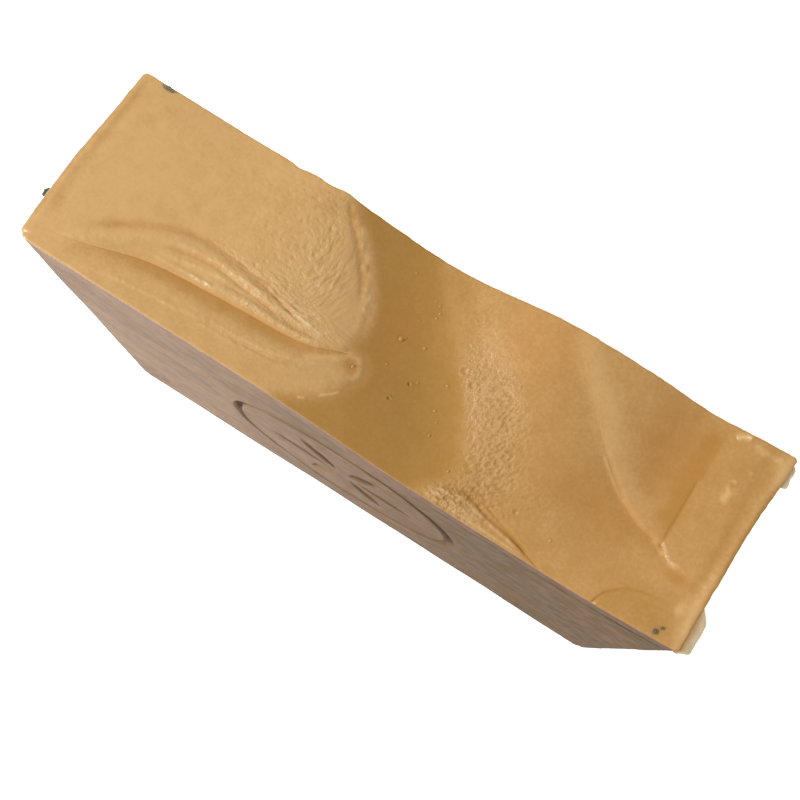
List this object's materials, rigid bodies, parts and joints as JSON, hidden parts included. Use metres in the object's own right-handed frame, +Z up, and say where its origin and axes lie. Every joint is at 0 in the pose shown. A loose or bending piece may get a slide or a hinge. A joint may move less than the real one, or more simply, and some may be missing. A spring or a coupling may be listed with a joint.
{
  "type": "clay soap bar",
  "caption": "Upright rectangular bar of clay soap with a spooned, folded top, a round stamp pressed in one cut face, and thin flash on one end.",
  "frame": {"origin": "centre of the face that the bar stands on", "axes": "+X along the bar, +Y through its thickness from the stamped face to the plain one, +Z up to the spooned top"},
  "size_m": [0.0912, 0.0256, 0.0641],
  "materials": {
    "cut_soap": "waxy cut soap, satin, faint mauve clay clouds",
    "poured_soap": "waxy skin of poured soap, semi-gloss, wrinkled",
    "thin_soap": "thin translucent soap, semi-gloss",
    "dry_clay": "dull dry clay"
  },
  "bodies": {
    "root": {"bar_body": "cut_soap", "left_slab": "poured_soap", "front_roll": "poured_soap", "valley_pour": "poured_soap", "ripple_fold": "poured_soap", "hollow_fold": "poured_soap", "end_slab": "poured_soap", "corner_fold": "poured_soap", "front_lip": "poured_soap", "upper_flash": "thin_soap", "lower_flash": "thin_soap", "end_fleck": "dry_clay", "back_fleck": "dry_clay", "large_front_fleck": "dry_clay", "small_front_fleck": "dry_clay"}
  },
  "joints": []
}
